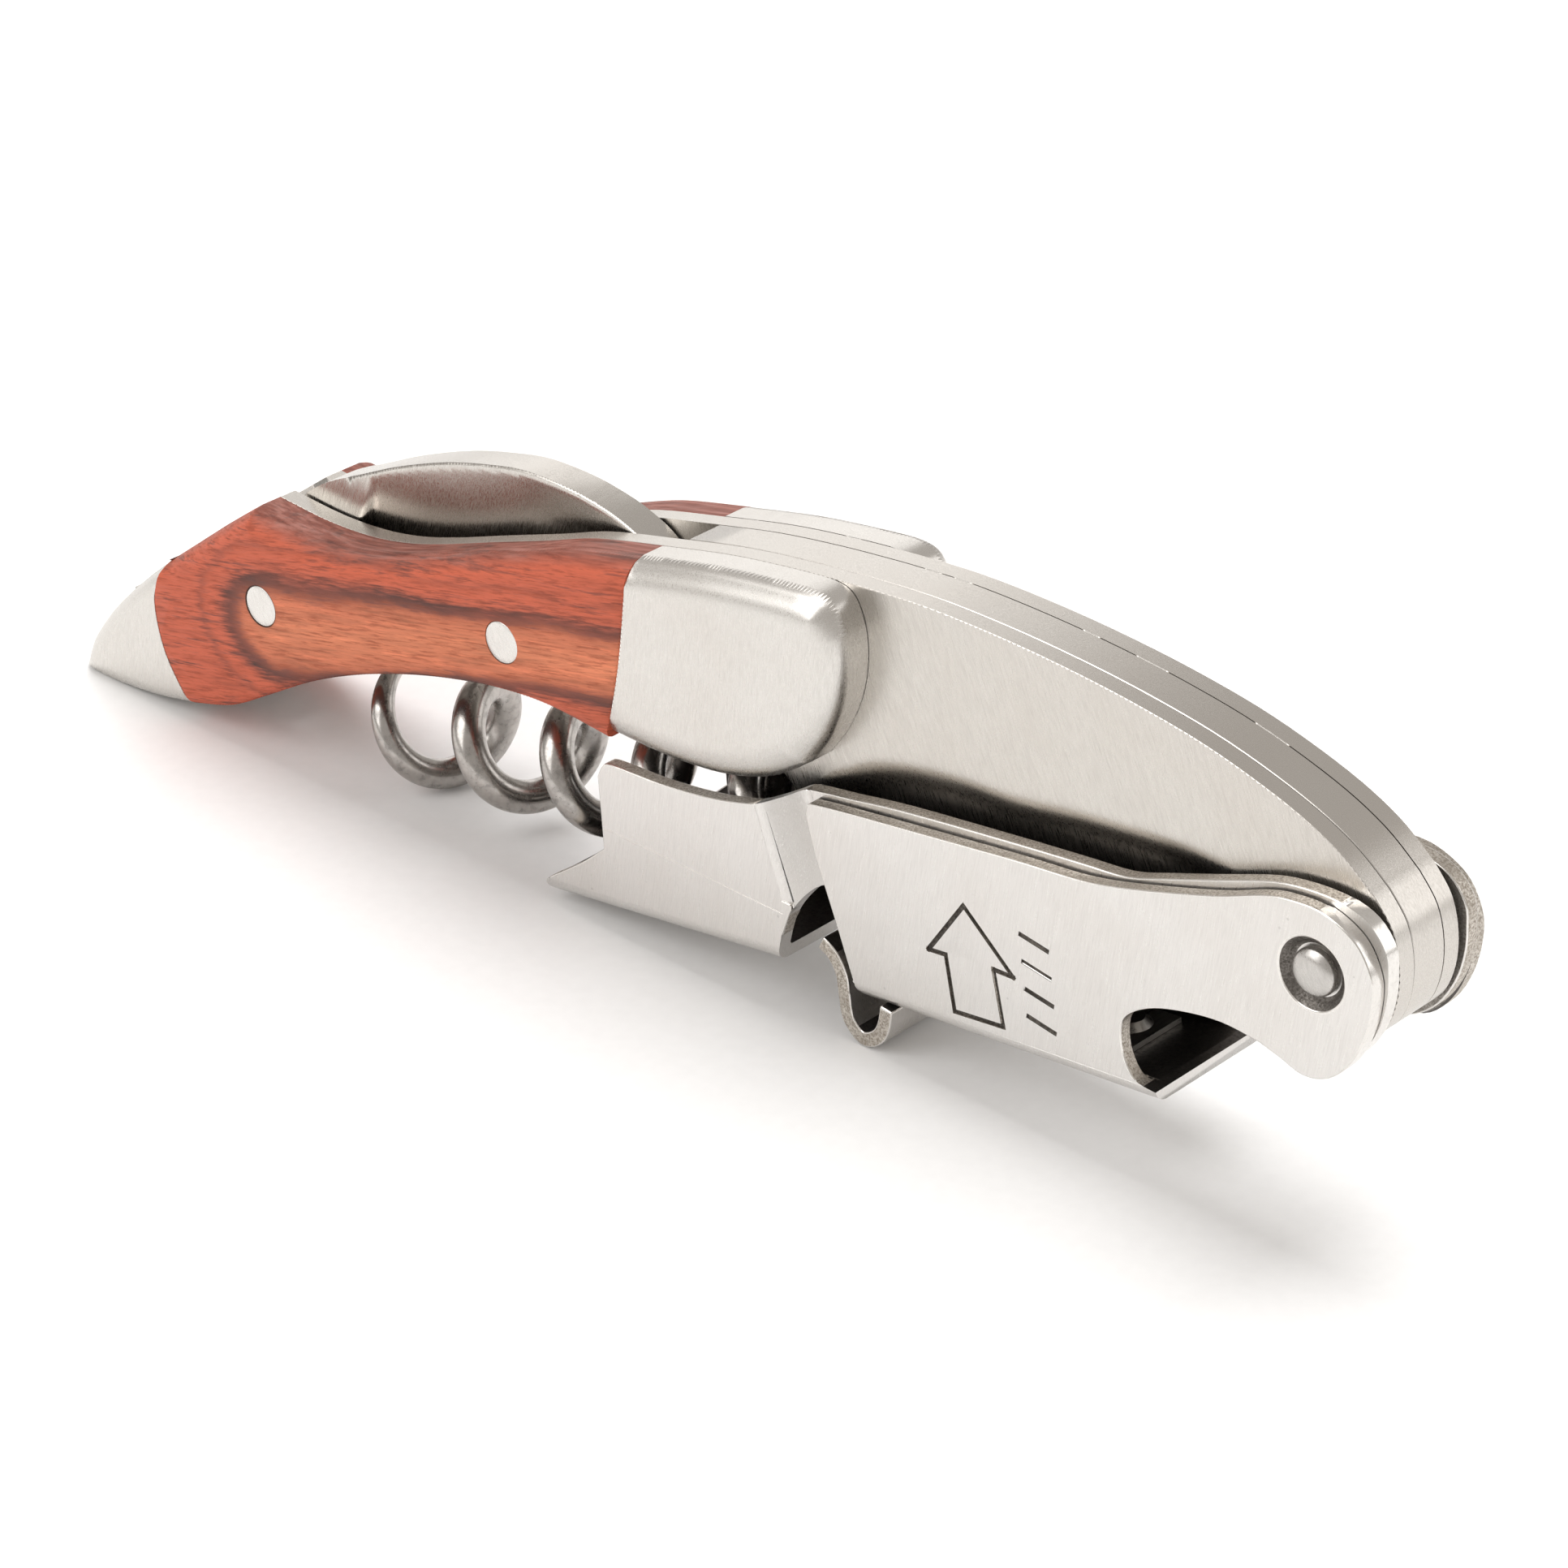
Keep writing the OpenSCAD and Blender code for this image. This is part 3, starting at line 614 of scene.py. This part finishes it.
def spline(a, b, c, d, t):
    """The smooth curve from b to c, with t from 0 to 1."""
    return 0.5 * (2 * b + (c - a) * t + (2 * a - 5 * b + 4 * c - d) * t * t
                  + (3 * b - a - 3 * c + d) * t ** 3)


def smooth(p, n=5):
    """A smooth curve through the points, with n steps between each two."""
    out = []
    for i in range(len(p) - 1):
        around = p[max(i - 1, 0)], p[i], p[i + 1], p[min(i + 2, len(p) - 1)]
        out += [tuple(spline(*values, k / n) for values in zip(*around)) for k in range(n)]
    return out + [tuple(p[-1])]


def turned_ring(bm, centre, r, y, count):
    """A ring of points about the Y direction, with r and y in millimetres."""
    angles = [2 * math.pi * i / count for i in range(count)]
    return [bm.verts.new((centre.x + r * MM * math.cos(a), y * MM, centre.z + r * MM * math.sin(a)))
            for a in angles]


def join_rings(bm, a, b):
    for i in range(len(a)):
        j = (i + 1) % len(a)
        bm.faces.new([a[i], a[j], b[j], b[i]])


def lathe(node, centre, profile, looks, count=72):
    """A turned solid about Y. The profile is a list of (radius, y) in millimetres, from axis to axis."""
    bm = bmesh.new()
    rings = [turned_ring(bm, centre, r, y, count) for r, y in profile[1:-1]]
    for a, b in zip(rings, rings[1:]):
        join_rings(bm, a, b)
    for ring, (_, y) in ((rings[0], profile[0]), (rings[-1], profile[-1])):
        pole = bm.verts.new((centre.x, y * MM, centre.z))
        for i in range(count):
            bm.faces.new([pole, ring[i], ring[(i + 1) % count]])
    return finish_piece(bm, node, looks)


# ---------------------------------------------------------------- scales, caps and bolsters

# the joints between wood and steel stay square, and the edges facing up roll over most
cap_joint = smooth([(-103.3, -19.4), (-105.8, -15.8), (-106.7, -11.7), (-105.7, -8.3)])
bolster_joint = smooth([(-57.1, 8.7), (-57.9, 0.8), (-59.2, -5.6)])
joint_segs = np.array([[(nose.x + x * MM, nose.z + z * MM) for x, z in pair]
                       for curve in (cap_joint, bolster_joint) for pair in zip(curve, curve[1:])])
HANDLE_ROLLS = ((2.0, 2.0), (1.2, 0.7))
BOLSTER_ROLLS = ((2.7, 1.9),)


def at_joint(x, z):
    return seg_dist(np.array([(x, z)]), joint_segs)[0] < 0.12 * MM


def handle_round(x, z, rise):
    if at_joint(x, z):
        return -1
    return 0 if rise > 0.25 else 1


for side_name, s in (("front", 1), ("back", -1)):
    plate(side_name + "_scale", s * face_y, s * body_y, [WOOD], handle_round, HANDLE_ROLLS, broken=0.09)
    plate(side_name + "_tail_cap", s * face_y, s * body_y, [BOLSTER], handle_round, HANDLE_ROLLS,
          broken=0.03)
    plate(side_name + "_bolster", s * face_y, s * (body_y - 0.04 * MM), [BOLSTER],
          lambda x, z, rise: -1 if at_joint(x, z) else 0, BOLSTER_ROLLS, broken=0.09, fixed=joint_segs)

# ---------------------------------------------------------------- liners and the spring between them

# the liners are hollowed on the outside along the lever, so that a thumb finds its edge
scoop_line = smooth([(-46, -7), (-41.4, -2.6), (-37.4, -0.2), (-31.6, 1.2), (-25.9, 1.7), (-20.4, 2.7),
                     (-13.2, 3.6), (-9.6, 3.5), (-7.5, 2.8), (-6.2, 1), (-5.6, -2), (-5.4, -7)], 4)
scoop_xz = [((nose.x + x * MM), (nose.z + z * MM)) for x, z in scoop_line]
scoop_segs = np.stack([np.array(scoop_xz[:-1]), np.array(scoop_xz[1:])], 1)
below_plate = 10 * MM
scoop_region = scoop_xz + [(x, z - below_plate) for x, z in (scoop_xz[-1], scoop_xz[0])]
scoop_deep, scoop_slope = 0.75 * MM, 2.3 * MM


def scoop(points):
    t = np.clip(seg_dist(points, scoop_segs) / scoop_slope, 0, 1)
    return np.where(inside(points, scoop_region), scoop_deep * t * t * (3 - 2 * t), 0)


def grid(x_from, z_from, x_gap, z_gap, columns, rows):
    """Points in millimetres from the nose's middle, as places in the frame."""
    return [(nose.x + (x_from + x_gap * i) * MM, nose.z + (z_from + z_gap * j) * MM)
            for i in range(columns) for j in range(rows)]


liner_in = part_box("backspring")[0].y
# the front seam beside the backspring shows as a wider line than the back one
for side_name, s, seam in (("front", 1, 0.10), ("back", -1, 0.05)):
    plate(side_name + "_liner", s * body_y, s * (liner_in - seam * MM), [LINER], depth=scoop,
          extra=grid(-45, -9, 0.5, 0.5, 84, 28), step=0.6, broken=0.06)

for node in ("backspring", "tail_spacer"):
    bm = mesh_of(node)
    soften(bm, lambda e: abs(e.verts[0].co.y - e.verts[1].co.y) < 0.01 * MM, 0.05, 1, shortest=0.15)
    finish_piece(bm, node, [LINER])

# ---------------------------------------------------------------- levers

# folded sheet with bright rounded arrises and dark punched edges
SHEET = 1.1 * MM
LEVER_LOOKS = [LEVER, EDGE, ARRIS, GROOVE, SHADE_STEEL, SINK, LOBE_SHADE]
CUT, BRIGHT, ENGRAVED, PAINTED_SHADE, SUNK, HALF_SHADE = range(1, len(LEVER_LOOKS))
lever_x, lever_z = lever_pivot.x, lever_pivot.z
short_out = -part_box("short_lever")[0].y
long_out = -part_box("long_lever")[0].y
lobes_from = lever_x - 6 * MM
groove_deep = 0.15 * MM


def from_pivot(point):
    """Millimetres along X and Z from the lever pivot."""
    return (point.x - lever_x) / MM, (point.z - lever_z) / MM


def lever_faces(bm):
    """Cut edges get the punched look. Faces that look inwards get painted shade, near black, or on the lobes a
    lighter painted shade, and the upward faces low inside the channel get the near-black painted shade too.
    """
    split(bm, lambda f: abs(f.normal.y) > 0.99 and f.calc_center_median().y * f.normal.y < 0,
          (lobes_from, 0, 0), (1, 0, 0))
    for f in bm.faces:
        c = f.calc_center_median()
        if c.y * f.normal.y < 0 and abs(f.normal.y) > 0.3:
            f.material_index = PAINTED_SHADE if c.x < lobes_from else HALF_SHADE
        elif f.normal.z > 0.75 and abs(c.y) < 4.4 * MM and c.z < lever_z - 11 * MM:
            f.material_index = PAINTED_SHADE
        y0, y1 = min(v.co.y for v in f.verts), max(v.co.y for v in f.verts)
        if abs(f.normal.y) < 0.12 and y1 - y0 < SHEET + 0.15 * MM and abs(y0 + y1) > 2 * MM:
            f.material_index = CUT if c.x < lever_x or f.normal.x < 0.1 or c.y > 0 else BRIGHT


def has_cut_edge(e):
    return any(f.material_index == CUT for f in e.link_faces)


def keep_within(bm, half):
    """Holds every point to within half of the middle plane."""
    for v in bm.verts:
        v.co.y = max(-half, min(half, v.co.y))


# below foot_z and past foot_x, what lies in the cheeks' plane is the cut side of the bent foot
foot_x, foot_z = -37.4, -17.56


def on_outer_face(y):
    return abs(abs(y) - short_out) < 0.02 * MM


def in_arrow(point):
    """Whether a place lies in the field of the engraved arrow."""
    x, z = from_pivot(point)
    return -33.5 < x < -21 and -15.6 < z < -5.9


def short_lever_arris(e):
    a, b = e.verts
    engraved = any(f.material_index == ENGRAVED for f in e.link_faces)
    return (on_outer_face(a.co.y) or on_outer_face(b.co.y)) and not engraved and not in_arrow(a.co)


bm = mesh_of("short_lever")
split(bm, lambda f: abs(f.normal.y) > 0.99 and on_outer_face(f.calc_center_median().y),
      (0, 0, lever_z + foot_z * MM), (0, 0, 1))
lever_faces(bm)
for f in bm.faces:
    c = f.calc_center_median()
    x, z = from_pivot(c)
    if math.hypot(x, z) < 2.7 and abs(c.y) > short_out - 0.8 * MM and abs(f.normal.y) < 0.98:
        f.material_index = SUNK
    if abs(f.normal.y) > 0.99:
        if on_outer_face(c.y) and (z < foot_z or x < foot_x):
            f.material_index = CUT
        elif abs(abs(c.y) - short_out + groove_deep) < 0.02 * MM and -33 < x < -20 and -16 < z < -5:
            f.material_index = ENGRAVED
soften(bm, short_lever_arris, 0.10, 2, 40, 0.10, BRIGHT)
# painted shade: a dark line runs between the two sheets, on a bevel given the near-black shade material
soften(bm, lambda e: all(short_out - 1.3 * MM < abs(v.co.y) < short_out - 0.9 * MM for v in e.verts)
       and has_cut_edge(e), 0.16, 1, 40, 0.10, PAINTED_SHADE)
keep_within(bm, short_out)
short = finish_piece(bm, "short_lever", LEVER_LOOKS)

bm = mesh_of("long_lever")
# the hair-high step at the fold is closed, so that the flared cheeks run smoothly down to the floor
for v in bm.verts:
    for level in (long_out, long_out - SHEET):
        if abs(abs(v.co.y) - level) < 0.02 * MM:
            v.co.y = math.copysign(level, v.co.y)
bmesh.ops.remove_doubles(bm, verts=bm.verts, dist=2e-6)
make_whole(bm)
lever_faces(bm)
soften(bm, lambda e: all(abs(v.co.y) > 3 * MM for v in e.verts) and has_cut_edge(e), 0.10, 2, 40, 0.10,
       BRIGHT)
keep_within(bm, long_out)
finish_piece(bm, "long_lever", LEVER_LOOKS, weighted=True)

# ---------------------------------------------------------------- knife blade

# a flat tang, then both sides hollow-ground from just under the spine down to the edge
blade_half = -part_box("knife_blade")[0].y
land = 0.35
hollow_deep = 1.15 * MM


def nose_xz(x, z):
    """Millimetres from the nose's middle."""
    return (x - nose.x) / MM, (z - nose.z) / MM


def on_spine(x, z):
    x, z = nose_xz(x, z)
    return z > 4.4 + (x + 57.6) * 0.28


def blade_segs(upper):
    """The stretches of the blade's outline on its spine, or on its edge."""
    loop = cut_small(outline_loops("knife_blade", 0, True)[0], 0.6 * MM)
    pairs = [(p, q) for p, q in zip(loop, loop[1:] + loop[:1])
             if nose_xz(*p)[0] > -92 and on_spine((p[0] + q[0]) / 2, (p[1] + q[1]) / 2) == upper]
    return np.array(pairs)


spine_segs, edge_segs = blade_segs(True), blade_segs(False)


def hollow(points):
    """How deep the grind lies, from the plunge beside the tang onwards."""
    x, z = nose_xz(points[:, 0], points[:, 1])
    up = np.maximum(0, seg_dist(points, spine_segs) / MM - land)
    low = seg_dist(points, edge_segs) / MM
    t = up / np.maximum(up + low, 1e-6)
    plunge = -88.7 + 0.22 * (z - 1) - 0.05 * (z - 1) ** 2
    p = np.clip((x - plunge) / 0.9, 0, 1)
    return hollow_deep * (1 - (1 - t) ** 2.2) * p * p * (3 - 2 * p)


def blade_round(x, z, rise):
    return 0 if on_spine(x, z) and nose_xz(x, z)[0] > -90 else -1


plate("knife_blade", -blade_half, blade_half, [BLADE], blade_round, ((0.3, 0.12),), depth=hollow,
      extra=grid(-86.6, -8, 0.45, 0.45, 66, 38) + grid(-90.5, -8, 0.2, 0.4, 18, 30), both=True)

# ---------------------------------------------------------------- pins and rivet

# flush pins: ground level with the wood, with a hair of dark round each
flush = -face_y / MM
pin_r = 1.6
pin_half = [(pin_r - 0.03, flush - 0.06), (pin_r - 0.1, flush - 0.01), (pin_r - 0.5, flush), (0, flush)]
for node, centre in (("knife_pin", knife_pin), ("scale_pin", scale_pin)):
    lathe(node, centre, [(r, -y) for r, y in reversed(pin_half)] + pin_half, [PIN])

# domed rivet heads in their countersinks
sheet_face = short_out / MM
shank_r, shank_half = 1.5, sheet_face - 0.55
dome = [(0, 0.27), (0.35, 0.262), (0.7, 0.235), (1.0, 0.18), (1.25, 0.09), (1.45, -0.03), (1.58, -0.16),
        (1.65, -0.32), (1.66, -0.55)]
front_dome = [(r, -sheet_face - h) for r, h in dome]
back_dome = [(r, sheet_face + h) for r, h in reversed(dome)]
lathe("lever_rivet", lever_pivot, front_dome + [(shank_r, -shank_half), (shank_r, shank_half)] + back_dome,
      [RIVET])

# ---------------------------------------------------------------- worm

# one wire wound into the coil and closed in to its shank, with shallow grooves along it
coil_r, wire_r, pitch, coil_slope = 3.7, 1.25, 9.15, math.radians(9.9)
coil_from = Vector((-80.7, 0, -15.6))
coil_along = Vector((math.cos(coil_slope), 0, math.sin(coil_slope)))
first_turn, full_turn, last_open, last_turn, phase = -0.75, 0.25, 3.3, 4.1, math.radians(243.3)
rings_per_turn, ring_sides = 90, 40
GROOVES = ((0.62, 0.16, 0.05), (2.15, 0.2, 0.06))


def coil_axis(t):
    return coil_from + coil_along * pitch * t


def coil_radius(t):
    """The coil's radius, which closes in over the last turn."""
    if t < last_open:
        return coil_r
    return coil_r * (0.5 + 0.5 * math.cos(math.pi * (t - last_open) / (last_turn - last_open)))


def coil_point(t):
    a = 2 * math.pi * t + phase
    out = Vector((-math.cos(a) * coil_along.z, -math.sin(a), math.cos(a) * coil_along.x))
    return coil_axis(t) + coil_radius(t) * out


def coil_wire(t):
    """The wire's radius, which tapers to a point over the first turn."""
    if t > full_turn:
        return wire_r
    share = (t - first_turn) / (full_turn - first_turn)
    return wire_r * max(0.06, math.sin(math.pi / 2 * share) ** 0.35)


def grooved(a):
    """How much the grooves take off the wire at an angle from the coil's outside."""
    return sum(deep * math.exp(-((a - centre) / wide) ** 2) for centre, wide, deep in GROOVES)


ring_count = round((last_turn - first_turn) * rings_per_turn) + 1
turns = [first_turn + i / rings_per_turn for i in range(ring_count)] + [last_turn]
line = [coil_point(t) for t in turns[:-1]] + [Vector((-42.3, 0, -8.4))]
bm = bmesh.new()
rings, out = [], None
for i, (c, t) in enumerate(zip(line, turns)):
    d = (line[min(i + 1, len(line) - 1)] - line[max(i - 1, 0)]).normalized()
    if t < last_open:
        out = c - coil_axis(t)
    out = (out - d * out.dot(d)).normalized()
    other = d.cross(out)
    fade = min(1, max(0, (t + 0.2) / 0.6))
    ring = []
    for k in range(ring_sides):
        a = 2 * math.pi * k / ring_sides
        r = coil_wire(t) * (1 - grooved(a) * fade)
        ring.append(bm.verts.new(nose + (c + r * (math.cos(a) * out + math.sin(a) * other)) * MM))
    rings.append(ring)
for a, b in zip(rings, rings[1:]):
    join_rings(bm, a, b)
bm.faces.new(list(reversed(rings[0])))
bm.faces.new(rings[-1])
# the eye that the worm pin goes through
bore_r, eye_r, eye_half = 1.13, 2.5, 1.4
eye_edge = [(eye_r - 0.2, eye_half), (eye_r - 0.04, eye_half - 0.07), (eye_r, eye_half - 0.2)]
eye = ([(bore_r, -eye_half)] + [(r, -y) for r, y in eye_edge] + list(reversed(eye_edge))
       + [(bore_r, eye_half)])
eye_rings = [turned_ring(bm, joints["worm_hinge"], r, y, 64) for r, y in eye]
for a, b in zip(eye_rings, eye_rings[1:] + eye_rings[:1]):
    join_rings(bm, a, b)
finish_piece(bm, "worm", [WORM], smooth_angle=50)

# ---------------------------------------------------------------- bars beside the arrow

bar_l, bar_w, bar_count = 2.6, 0.36, 4
bar_turn = Matrix.Rotation(math.radians(8), 3, "Y")
cutter_bm = bmesh.new()
for i in range(bar_count):
    place = (lever_x + (-21.9 + 0.3 * i) * MM, -short_out, lever_z + (-6.9 - 1.95 * i) * MM)
    block = bmesh.ops.create_cube(cutter_bm, size=1.0)["verts"]
    bmesh.ops.scale(cutter_bm, vec=(bar_l * MM, 2 * groove_deep, bar_w * MM), verts=block)
    bmesh.ops.rotate(cutter_bm, cent=(0, 0, 0), matrix=bar_turn, verts=block)
    bmesh.ops.translate(cutter_bm, vec=place, verts=block)
cut_me = bpy.data.meshes.new("bars")
cutter_bm.to_mesh(cut_me)
cutter_bm.free()
cutter = bpy.data.objects.new("bars", cut_me)
bpy.context.scene.collection.objects.link(cutter)
mod = short.modifiers.new("bars", "BOOLEAN")
mod.object, mod.operation, mod.solver = cutter, "DIFFERENCE", "EXACT"
bpy.context.view_layer.update()
cut = bpy.data.meshes.new_from_object(short.evaluated_get(bpy.context.evaluated_depsgraph_get()))
short.modifiers.clear()
short.data = cut
bpy.data.objects.remove(cutter)
for f in short.data.polygons:
    x, z = from_pivot(f.center)
    at_depth = abs(-f.center.y - (short_out - groove_deep)) < 0.01 * MM
    if at_depth and -24.5 < x < -19 and -14.5 < z < -5.5:
        f.material_index = ENGRAVED
short.data.set_sharp_from_angle(angle=math.radians(35))
short.modifiers.new("normals", "WEIGHTED_NORMAL").keep_sharp = True

# ---------------------------------------------------------------- floor, lights and camera

floor_half = 6.0
corners = [(-1, -1), (1, -1), (1, 1), (-1, 1)]
me = bpy.data.meshes.new("floor")
me.from_pydata([(x * floor_half, y * floor_half, 0) for x, y in corners], [], [(0, 1, 2, 3)])
floor = bpy.data.objects.new("floor", me)
bpy.context.scene.collection.objects.link(floor)
m, nt, sh = new_material("floor_paper")
paper = noise(nt, coords(nt, (900, 900, 900)), 3.0)
nt.links.new(ramp(nt, paper, [(0.3, grey(0.86)), (0.7, grey(0.88))]), sh.inputs["Base Color"])
sh.inputs["Roughness"].default_value = 0.9
me.materials.append(m)

world = bpy.data.worlds.new("studio")
bpy.context.scene.world = world
world.use_nodes = True
world.node_tree.nodes["Background"].inputs[0].default_value = (1, 0.95, 0.90, 1)
world.node_tree.nodes["Background"].inputs[1].default_value = 0.58


def light(name, place, target, size, power):
    d = bpy.data.lights.new(name, "AREA")
    d.shape = "RECTANGLE"
    d.size, d.size_y = size
    d.energy = power
    o = bpy.data.objects.new(name, d)
    bpy.context.scene.collection.objects.link(o)
    o.location = place
    o.rotation_mode = "QUATERNION"
    o.rotation_quaternion = (Vector(target) - Vector(place)).to_track_quat("-Z", "Y")
    return o


# the key makes the shadows from above, and the screens are what the satin steel mirrors
key = light("key_softbox", (0.0, 0.24, 0.80), (0, 0, 0), (0.60, 0.60), 5.6)
key.visible_glossy = False
light("back_screen", (-0.80, 0.73, 0.36), (0, 0, 0), (0.6, 0.6), 1.0)
light("front_screen", (-0.40, -0.74, 0.60), (0, 0, 0.02), (0.70, 0.85), 3.9)
light("nose_screen", (0.70, 0.66, 0.40), (0, 0, 0.02), (0.75, 0.6), 1.5)
roll_screen = light("roll_screen", (-0.24, -0.20, 0.78), (0, 0, 0.02), (0.7, 0.8), 3.2)
roll_screen.visible_diffuse = False

cam_data = bpy.data.cameras.new("camera")
camera = bpy.data.objects.new("camera", cam_data)
bpy.context.scene.collection.objects.link(camera)
bpy.context.scene.camera = camera
azimuth, elevation, tilt = math.radians(42.64), math.radians(29.541), math.radians(0.332)
camera_from_nose = Vector((151.037, -216.907, 159.348)) * MM
back = Vector((math.sin(azimuth) * math.cos(elevation), -math.cos(azimuth) * math.cos(elevation),
               math.sin(elevation)))
right = Vector((math.cos(azimuth), math.sin(azimuth), 0))
up = back.cross(right)
x_axis = math.cos(tilt) * right + math.sin(tilt) * up
y_axis = -math.sin(tilt) * right + math.cos(tilt) * up
turned = Matrix((x_axis, y_axis, back)).transposed().to_4x4()
camera.matrix_world = Matrix.Translation(nose + camera_from_nose) @ turned
cam_data.sensor_width = 36
cam_data.lens = 113.74
cam_data.clip_start, cam_data.clip_end = 0.01, 50

bpy.context.scene.view_settings.view_transform = "Standard"
